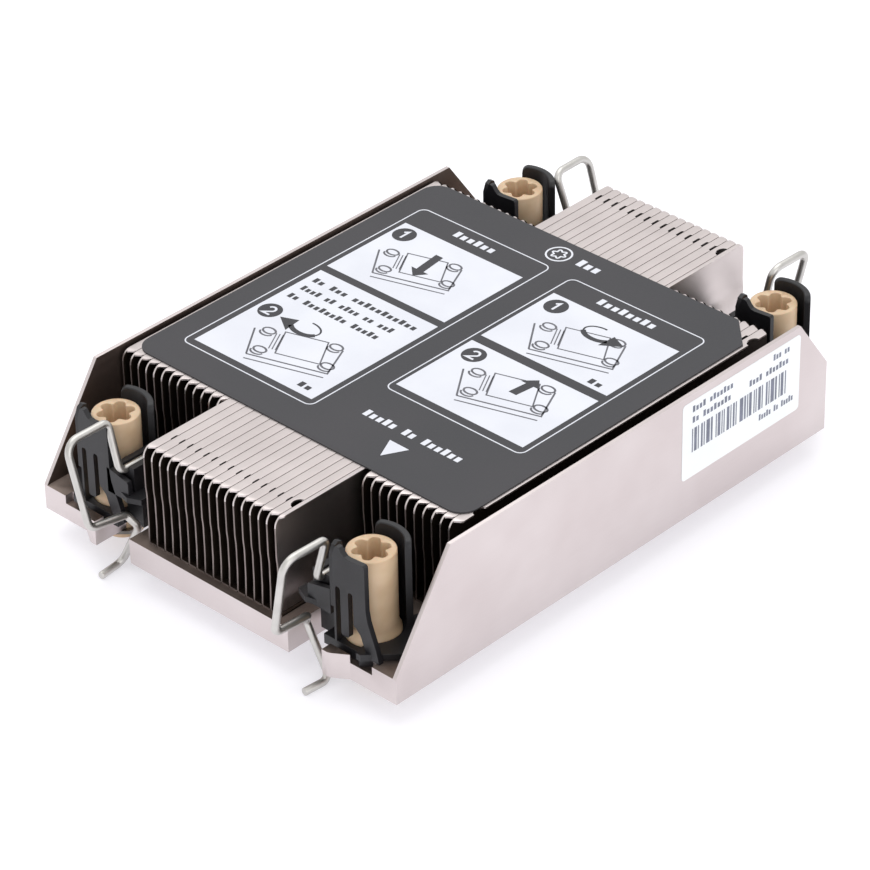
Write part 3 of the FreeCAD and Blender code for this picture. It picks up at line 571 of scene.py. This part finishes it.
def makeWire(corner):
    # the route's points mirrored into their corner, bent into one line and given a round section
    sx, sy = corners[corner]
    route = np.array(wire["hook"] + wire["arm"] + wire["top"][corner] + wire["hinge"])
    points = nutPlace(corner) + route[:, [1, 0, 2]] * [-sx, sy, 1]
    line = bentLine(points, route[:, 3], wire["arcSteps"])
    points, faces = skin(tubeRings(line, wire["radius"], wire["around"]))
    piece = meshObject(f"bent_wire_{corner}", points, faces, [springSteel], 50)
    settle(piece, f"swinging_wire_{corner}", "spring_wire", f"wire_{corner}")


clip = {
    # measured from the nut's axis, levels above the plate's underside
    # half of the foot and rim in plan: X outwards from the nut, Y away from its middle
    "foot": [(-5.1, 5.6), (2.0, 5.6), (3.1, 6.4), (6.2, 3.3)], "footLow": 3.1, "footTop": 4.9,
    "rim": [(2.4, 5.6), (2.9, 6.8), (3.8, 6.8), (9.0, 1.6)], "rimLow": 4.62, "rimTop": 5.8,
    "hole": 4.6,
    # the claw in front of the nut with its two slots, in X and Z
    "clawY": (-5.65, -4.75),
    "claw": [(-2.7, 4.7), (-2.7, 20.3), (-2.1, 22.2), (-1.8, 22.45), (-1.2, 22.4), (-0.6, 21.6),
             (-0.1, 21.2), (0.6, 21.1), (3.7, 21.35), (4.0, 21.05), (4.05, 13.2), (4.35, 11.4),
             (5.0, 9.6), (6.0, 7.0), (6.6, 4.7), (4.3, 4.7), (3.6, 6.2), (2.8, 8.3), (1.4, 9.6),
             (1.4, 14.7), (1.2, 15.1), (0.6, 15.1), (0.4, 14.7), (0.4, 6.9), (0.15, 6.6),
             (-1.0, 6.6), (-1.25, 6.9), (-1.25, 14.7), (-1.45, 15.1), (-2.05, 15.1),
             (-2.25, 14.7), (-2.25, 4.7)],
    # the claw's return along the nut's side, in Y and Z
    "wrapX": (-3.4, -2.6),
    "wrap": [(-5.6, 11.0), (-5.6, 20.4), (-5.0, 21.9), (-4.3, 22.3), (-3.6, 22.0), (-3.3, 21.2),
             (-3.5, 12.2)],
    # a small panel beside the claw, at the front corners only
    "panel": [(3.4, 13.9), (8.0, 12.9), (8.2, 12.5), (8.2, 10.4), (7.2, 9.3), (3.4, 9.3)],
    # the bent post behind the nut: radii, angles from and to, top and the radius of its top corners
    "post": {"inner": 5.0, "outer": 6.05, "from": 128, "to": 37, "top": 21.35, "round": 1.3},
    # the wire's bearing: near side, far side, shoulder and crown; half lengths of block and stem
    "block": (4.7, 8.3, 9.6, 14.9), "blockHalf": 4.3, "stemHalf": 3.0,
    "hinge": (6.4, 14.2, 0.72),  # the trough's centre and radius
    "catch": [(4.7, 2.0), (4.7, 5.2), (8.3, 6.2), (10.6, 5.2), (10.6, 3.4), (8.3, 2.0)],
    "catchLevel": (9.5, 10.5),
    "sunk": 0.3,  # post and stem reach this far into the pieces that carry them
    "bevel": 0.14, "segments": 2, "bevelOver": 40,
}


def platePierced(outline, hole, low, high):
    # A flat plate round the nut. For each angle, its outer edge lies where the ray from the axis
    # crosses a side p + s e of the outline: t = (p x e) / (ray x e), taken where 0 <= s <= 1.
    points = np.asarray(outline, float)
    edge = np.roll(points, -1, 0) - points
    bends = np.arctan2(points[:, 1], points[:, 0])
    a = np.unique(np.concatenate([bends, np.linspace(-math.pi, math.pi, 73)[:-1]]).round(6))
    ray = np.stack([np.cos(a), np.sin(a)], -1)
    facing = ray[:, None, 0] * edge[None, :, 1] - ray[:, None, 1] * edge[None, :, 0]
    facing = np.where(np.abs(facing) < 1e-9, 1e-9, facing)
    t = (points[:, 0] * edge[:, 1] - points[:, 1] * edge[:, 0])[None] / facing
    s = (points[None, :, 0] * ray[:, None, 1] - points[None, :, 1] * ray[:, None, 0]) / facing
    t = np.where((s > -1e-4) & (s < 1 + 1e-4) & (t > 0), t, 1e3).min(1)
    # each angle's section: outer edge low and high, then the hole's edge high and low
    r = np.stack([t, t, np.full_like(t, hole), np.full_like(t, hole)], -1)
    level = np.broadcast_to([low, high, high, low], r.shape)
    section = np.stack([r * ray[:, :1], r * ray[:, 1:], level], -1)
    here = np.arange(len(a))[:, None] * 4
    after = np.roll(here, -1, 0)
    side, turned = np.arange(4), np.roll(np.arange(4), -1)
    faces = np.stack([here + side, after + side, after + turned, here + turned], -1)
    return section.reshape(-1, 3), faces.reshape(-1, 4).tolist()


def postWall(post, low):
    # A wall bent round the nut. For angle a from start to end the top is level, less
    # round - sqrt(round^2 - (round - s)^2) where the arc length s to an end is short.
    inner, outer, rounding, soft = post["inner"], post["outer"], post["round"], 0.15
    fraction = (1 - np.cos(np.linspace(0, math.pi, 33))) / 2
    a = np.radians(post["from"] + (post["to"] - post["from"]) * fraction)
    toEnd = np.minimum(np.abs(a - a[0]), np.abs(a - a[-1])) * outer
    short = np.clip(rounding - toEnd, 0, None)
    crest = post["top"] - rounding + np.sqrt(rounding ** 2 - short ** 2)
    foot = np.full_like(a, low)
    rows = [(inner, foot), (inner, crest - soft), (inner + soft, crest), (outer - soft, crest),
            (outer, crest - soft), (outer, foot)]
    section = np.array([np.stack([r * np.cos(a), r * np.sin(a), level], -1) for r, level in rows])
    points, faces = skin(section.transpose(1, 0, 2))
    return points, [face[::-1] for face in faces]  # the section runs the other way round


def makeClip(corner):
    # Foot plate, rim, claw, wrap, post and wire bearing put together as one mesh; the foot and the
    # bearing are handed, the claw and the post face the same way at every corner.
    sx, sy = corners[corner]
    foot, rim = (np.concatenate([clip[key], np.array(clip[key])[::-1] * [1, -1]])
                 for key in ("foot", "rim"))
    bite = math.degrees(math.acos(rim[0, 0] / clip["hole"]))  # the rim is cut back round the nut
    rim = np.concatenate([rim, oval(0, 0, clip["hole"], clip["hole"], -bite, bite, 17)])
    near, far, shoulder, crown = clip["block"]
    middle, level, bore = clip["hinge"]
    trough = oval(middle, level, bore, bore, 0, -180, 13)
    block = np.concatenate([
        [(near, shoulder), (far, shoulder), (far, crown), (middle + bore, crown)], trough,
        [(middle - bore, crown), (near, crown)]])
    stem = bar(-clip["stemHalf"], clip["stemHalf"], clip["footLow"], shoulder + clip["sunk"])
    solids = [
        platePierced(foot * [sx, 1], clip["hole"], clip["footLow"], clip["footTop"]),
        prism(rim * [sx, 1], clip["rimLow"], clip["rimTop"]),
        prism(clip["claw"], *clip["clawY"], (0, 2, 1)),
        prism(clip["wrap"], *clip["wrapX"], (1, 2, 0)),
        prism(block * [-sx, 1], -clip["blockHalf"], clip["blockHalf"], (0, 2, 1)),
        prism(stem, *sorted((-sx * near, -sx * far)), (1, 2, 0)),
        prism(np.array(clip["catch"]) * [-sx, sy], *clip["catchLevel"]),
        postWall(clip["post"], clip["footTop"] - clip["sunk"]),
    ]
    if sy < 0:
        solids.append(prism(np.array(clip["panel"]) * [-sx, 1], *clip["clawY"], (0, 2, 1)))
    piece = joinSolids(f"moulded_clip_{corner}", solids, nutPlace(corner), mouldedNylon, 30)
    bevelEdges(piece, clip["bevel"], clip["segments"], clip["bevelOver"])
    settle(piece, "carrier", "clip_polymer", f"clip_{corner}")


for corner in corners:
    makeNut(corner)
    makeWire(corner)
    makeClip(corner)
    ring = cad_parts[f"retaining_ring_{corner}"]
    ring.data.materials.clear()
    ring.data.materials.append(ringSteel)
print("nuts, wires and clips made")


def roundedBox(x0, x1, y0, y1, radius, cut=None, steps=8):
    # corners as quarter circles, anticlockwise from the far right one, which is cut off straight
    # over a length of cut where that is given
    s = np.linspace(0, 1, steps)
    parts = []
    for quarter, (x, y) in enumerate(((x1, y1), (x0, y1), (x0, y0), (x1, y0))):
        straight = cut and quarter == 0
        r = cut if straight else radius
        a = (s + quarter) * math.pi / 2
        turn = np.stack([1 - s, s] if straight else [np.cos(a), np.sin(a)], -1) * r
        parts.append(turn + [x - r if x == x1 else x + r, y - r if y == y1 else y + r])
    return np.concatenate(parts)


def ribbon(points, width, closed=False):
    # A stroke as one patch per run. At each point the two runs' side directions are added and
    # stretched by 1 / cos(half the turn), so that neighbouring patches share their corners.
    points = np.asarray(points, float)
    along = (np.roll(points, -1, 0) if closed else points[1:]) - (points if closed else points[:-1])
    along = along / np.maximum(np.linalg.norm(along, axis=1), 1e-9)[:, None]
    before = np.roll(along, 1, 0) if closed else np.concatenate([along[:1], along])
    after = along if closed else np.concatenate([along, along[-1:]])
    middle = before + after
    middle = middle / np.linalg.norm(middle, axis=1)[:, None]
    stretch = 1 / np.maximum(np.sum(middle * after, axis=1), 0.35)
    side = np.stack([-middle[:, 1], middle[:, 0]], -1) * (stretch * width / 2)[:, None]
    low, high = points - side, points + side
    if closed:
        return list(np.stack([low, np.roll(low, -1, 0), np.roll(high, -1, 0), high], 1))
    return list(np.stack([low[:-1], low[1:], high[1:], high[:-1]], 1))


def dashes(x0, x1, y, tall, words):
    # A line of plain marks with the rhythm of print: each word is a run of upright blocks, every
    # third one taller, none of them a letter. The step is what the blocks and gaps leave room for.
    places = np.concatenate([np.r_[np.ones(n), 0] for n in words])[:-1]
    step = (x1 - x0) / len(places)
    marks = []
    for index in np.flatnonzero(places):
        rise = tall * (0.35 if index % 3 == 0 else 0.0)
        left = x0 + index * step
        marks.append(bar(left, left + 0.66 * step, y - tall / 2, y + tall / 2 + rise))
    return marks


def printLayer(name, outlines, low, high, material, axes=(0, 1, 2)):
    # every outline as a thin prism between two levels, all in one mesh
    solids = [prism(outline, low, high, axes) for outline in outlines]
    return joinSolids(name, solids, (0, 0, 0), material, 20)


foil = {
    # X to the right and Y to the rear on the foil
    "corner": 3.2, "cut": 5.3,
    "past": 1.3,  # the film reaches this far past the solid's rear edge
    # left, right, front and rear of the two line frames and of the white panels inside them
    "frames": [(-32.3, -3.3, -28.4, 27.7), (1.5, 30.4, -16.6, 27.4)], "frameCorner": 1.3,
    "panels": [(-31.2, -4.65, 3.5, 22.2), (-31.0, -4.5, -26.9, 1.85),
               (2.4, 29.2, 4.6, 22.0), (2.3, 29.25, -14.9, 2.6)],
    "line": 0.22,
    # rows of plain marks: left, right, middle, height, and the marks in each word
    "whiteRows": [(-22.5, -13.3, 25.0, 1.25, (6,)), (9.6, 22.0, 24.8, 1.25, (8,)),
                  (4.3, 25.1, -24.0, 1.25, (5, 2, 6)), (-1.0, 4.0, 31.7, 1.5, (3,))],
    "greyRows": [(-29.6, -6.2, -1.2, 1.0, (2, 3, 11)), (-29.4, -8.6, -4.2, 1.0, (4, 2, 4, 2, 3)),
                 (-29.4, -9.0, -7.2, 1.0, (2, 8, 5)), (-9.2, -6.2, -25.0, 1.0, (2,)),
                 (24.2, 27.2, 6.0, 1.0, (2,))],
    "frontMark": [(14.53, -31.1), (16.75, -27.05), (12.65, -27.0)],
    "driveMark": (-5.2, 31.7),
    "discs": [(-28.6, 19.2), (-28.2, -12.6), (5.5, 19.1), (5.6, -0.5)], "disc": 2.1,
    "drawings": [(-21.0, -22.8, 1.0), (-23.4, 8.4, 0.95), (11.6, 8.2, 1.0), (12.4, -9.4, 1.0)],
    "turnArrows": [(-20.0, -12.6, 1), (16.2, 17.4, -1)],
    "blockArrows": [(-18.5, 10.6, 7.4, -1), (18.4, 0.9, 5.6, 1)],
    # the inks start below the film's face and stand above it by this much
    "under": 0.01, "white": 0.03, "strokes": 0.04, "grey": 0.05, "figures": 0.06,
}


def driveMark(x, y):
    # a ring round a closed line of six lobes, whose radius is 1.1 + cos(6 a) / 4
    a = np.radians(np.linspace(0, 360, 49)[:-1])
    lobes = np.stack([np.cos(a), np.sin(a)], -1) * (1.1 + np.cos(6 * a) / 4)[:, None] + [x, y]
    return ribbon(lobes, 0.3, True) + ribbon(oval(x, y, 2.2, 2.2)[:-1], 0.32, True)


def figureOne(x, y):
    # a short flag and an upright stem
    return ribbon([(x - 0.55, y + 0.55), (x + 0.1, y + 1.1), (x + 0.1, y - 1.15)], 0.42)


def figureTwo(x, y):
    # the upper part of a circle, a slanting stroke and a base line
    return ribbon(np.concatenate([oval(x, y + 0.4, 0.72, 0.72, 160, -30, 9),
                                  [(x - 0.72, y - 1.1), (x + 0.85, y - 1.1)]]), 0.4)


def heatsinkDrawing(x, y, size):
    # A small outline drawing in oblique view: the long side runs along (1, 0.31), the short side
    # along (-0.5, 0.87); nuts are ovals at the four corners and the fins short parallel strokes.
    long, short = np.array([11.6, 3.6]) * size, np.array([-3.0, 5.2]) * size

    def place(u, v, up=0.0):
        # the point u along the long side, v along the short side and up the sheet
        return np.array([x, y]) + u * long + v * short + np.array([0, up * size])

    strokes = ribbon([place(-0.12, -0.22), place(1.08, -0.22), place(1.14, 1.0)], 0.32)
    strokes += ribbon([place(-0.12, -0.22), place(-0.18, 1.05)], 0.32)
    strokes += ribbon([place(-0.1, -0.32, -0.7), place(1.08, -0.32, -0.7)], 0.28)
    strokes += ribbon([place(0.2, -0.1, 1.4), place(0.86, -0.1, 1.4),
                       place(0.84, 0.98, 1.4), place(0.2, 0.98, 1.4)], 0.26, True)
    for u in np.linspace(0.1, 0.2, 3):
        strokes += ribbon([place(u, 0.1, 1.0), place(u, 0.85, 1.2)], 0.2)
    for u, v in ((0, 0), (0, 0.95), (1, 0), (1, 0.95)):
        cx, cy = place(u, v, 0.8)
        strokes += ribbon(oval(cx, cy, 1.25 * size, 0.8 * size, steps=15)[:-1], 0.36, True)
        strokes += ribbon(oval(cx, cy - 0.7 * size, 1.25 * size, 0.8 * size, 180, 360, 9), 0.34)
    return strokes


def turnArrow(x, y, flip):
    # most of an oval, thick along the front, that ends in a three-cornered head
    arc = oval(0, 0, 2.9, 1.8, 95, -150, 24) * [flip, 1] + [x, y]
    head = np.array([(-5.6, -0.3), (-2.5, 1.0), (-2.1, -2.6)]) * [flip, 1] + [x, y]
    return ribbon(arc[:12], 0.32) + ribbon(arc[11:], 0.9) + [head]


def blockArrow(x, y, length, heading):
    # a plain arrow with its tip at (x, y), pointing along +Y or -Y and leaning a little
    head = np.array([(0, 0), (-1.9, -2.0), (1.9, -2.0)])
    shapes = [bar(-0.8, 0.8, -length, -2.0) * [1, heading], head * [1, heading]]
    return [shape + np.outer(shape[:, 1], [0.12 * heading, 0]) + [x, y] for shape in shapes]


def makeFoil():
    # the film with its rounded corners, and four layers of ink that stand a little above each other
    low, high = nodeBox("top_label")
    film = roundedBox(low[0], high[0], low[1], high[1] + foil["past"], foil["corner"], foil["cut"])
    sheet = printLayer("foil_sheet", [film], low[2], high[2], printedFilm)
    settle(sheet, "carrier", "printed_foil", "top_label")

    white = [bar(*panel) for panel in foil["panels"]] + [foil["frontMark"]]
    for box in foil["frames"]:
        white += ribbon(roundedBox(*box, foil["frameCorner"]), foil["line"], True)
    for row in foil["whiteRows"]:
        white += dashes(*row)
    white += driveMark(*foil["driveMark"])

    grey = [oval(x, y, foil["disc"], foil["disc"])[:-1] for x, y in foil["discs"]]
    for row in foil["greyRows"]:
        grey += dashes(*row)
    for arrow in foil["turnArrows"]:
        grey += turnArrow(*arrow)
    for arrow in foil["blockArrows"]:
        grey += blockArrow(*arrow)

    figures, strokes = [], []
    for index, place in enumerate(foil["discs"]):
        figures += figureTwo(*place) if index % 2 else figureOne(*place)
    for drawing in foil["drawings"]:
        strokes += heatsinkDrawing(*drawing)

    under = high[2] - foil["under"]
    for ink, outlines, material in (("white", white, whiteInk), ("strokes", strokes, fineInk),
                                    ("grey", grey, greyInk), ("figures", figures, whiteInk)):
        layer = printLayer(f"foil_print_{ink}", outlines, under, high[2] + foil[ink], material)
        settle(layer, "carrier", "printed_foil")


makeFoil()
print("foil printed")


label = {
    # Y to the rear and Z up on the right wall
    "corner": 0.7,
    "paperSunk": 0.02, "inkFrom": 0.03, "inkTo": 0.002,  # depths below the solid's face
    "barsFrom": 13.7, "barsTo": 36.9, "barsLow": 16.6, "barsHigh": 21.0,
    # bars of a few widths that repeat in a fixed order, from the label's front to its rear
    "bars": [0.3, 0.75, 0.3, 0.5, 0.3, 1.0, 0.5, 0.3, 0.75, 0.3], "barRepeats": 3,
    "gaps": [0.35, 0.3, 0.6, 0.3, 0.45, 0.3, 0.9, 0.3],
    "rows": [(13.8, 23.8, 24.5, 0.85, (4, 7)), (13.8, 23.3, 22.5, 0.85, (2, 8)),
             (27.7, 37.6, 22.6, 0.85, (4, 7)), (33.6, 37.8, 24.7, 0.85, (3, 2)),
             (30.3, 39.0, 14.9, 0.85, (5, 2, 5))],
}


def makeLabel():
    # Paper with marks and bars. Bar n starts after the widths and gaps of all bars before it, and
    # the whole row is stretched to the length that it has on the paper.
    low, high = nodeBox("side_label")
    face, upright = high[0], (1, 2, 0)
    sheet = roundedBox(low[1], high[1], low[2], high[2], label["corner"])
    paper = printLayer("side_paper", [sheet], low[0], face - label["paperSunk"],
                       labelPaper, upright)
    settle(paper, "carrier", "paper_label", "side_label")

    widths = np.tile(label["bars"], label["barRepeats"])
    gaps = np.resize(label["gaps"], len(widths))
    starts = np.concatenate([[0], np.cumsum(widths + gaps)[:-1]])
    stretch = (label["barsTo"] - label["barsFrom"]) / (starts[-1] + widths[-1])
    marks = [bar(label["barsFrom"] + start * stretch, label["barsFrom"] + (start + width) * stretch,
                 label["barsLow"], label["barsHigh"]) for start, width in zip(starts, widths)]
    for row in label["rows"]:
        marks += dashes(*row)
    ink = printLayer("side_print", marks, face - label["inkFrom"], face - label["inkTo"],
                     thermalInk, upright)
    settle(ink, "carrier", "paper_label")


makeLabel()
print("paper label printed")


studio = {
    # metres, watts
    "floorHalf": 3, "worldColour": "#FFFFFF", "worldStrength": 0.95,
    "aim": (0, 0, 0.02),
    # name, place, side length, power
    "lights": [("overhead softbox", (-0.15, 0.1, 0.75), 0.8, 2.6),
               ("right front softbox", (0.75, -0.35, 0.4), 0.6, 1.2)],
}


def makeStudio():
    # a level floor, an even pale sky and two square softboxes turned towards the object
    half = studio["floorHalf"]
    mesh = bpy.data.meshes.new("studio_floor")
    mesh.from_pydata([(-half, -half, 0), (half, -half, 0), (half, half, 0), (-half, half, 0)], [],
                     [(0, 1, 2, 3)])
    mesh.materials.append(floorBoard)
    floor = bpy.data.objects.new("studio_floor", mesh)
    bpy.context.scene.collection.objects.link(floor)

    world = bpy.data.worlds.new("white studio")
    world.use_nodes = True
    background = world.node_tree.nodes["Background"]
    background.inputs["Color"].default_value = toLinear(studio["worldColour"])
    background.inputs["Strength"].default_value = studio["worldStrength"]
    bpy.context.scene.world = world

    for name, place, side, power in studio["lights"]:
        data = bpy.data.lights.new(name, "AREA")
        data.size = side
        data.energy = power
        light = bpy.data.objects.new(name, data)
        light.location = place
        towards = Vector(studio["aim"]) - Vector(place)
        light.rotation_euler = towards.to_track_quat("-Z", "Y").to_euler()
        bpy.context.scene.collection.objects.link(light)


view = {
    # metres, degrees, millimetres
    "place": (0.37810, -0.39372, 0.36933), "azimuth": 44.132, "elevation": 33.394, "roll": -1.225,
    "lens": 166.9, "sensor": 36.0,
}


def makeCamera():
    # back is the direction from the object to the camera, right and up are square to it, and the
    # camera's own axes are those two turned by the roll
    azimuth, elevation, roll = (math.radians(view[key]) for key in ("azimuth", "elevation", "roll"))
    level = math.cos(elevation)
    back = Vector((math.sin(azimuth) * level, -math.cos(azimuth) * level, math.sin(elevation)))
    right = (-back).cross(Vector((0, 0, 1))).normalized()
    up = right.cross(-back)
    across = math.cos(roll) * right + math.sin(roll) * up
    upright = -math.sin(roll) * right + math.cos(roll) * up
    lens = bpy.data.cameras.new("camera")
    lens.lens, lens.sensor_width = view["lens"], view["sensor"]
    camera = bpy.data.objects.new("camera", lens)
    turned = Matrix((across, upright, back)).transposed().to_4x4()
    camera.matrix_world = Matrix.Translation(view["place"]) @ turned
    bpy.context.scene.collection.objects.link(camera)
    bpy.context.scene.camera = camera
    bpy.context.scene.view_settings.view_transform = "Standard"


makeStudio()
makeCamera()
print("stage, lights and camera set")
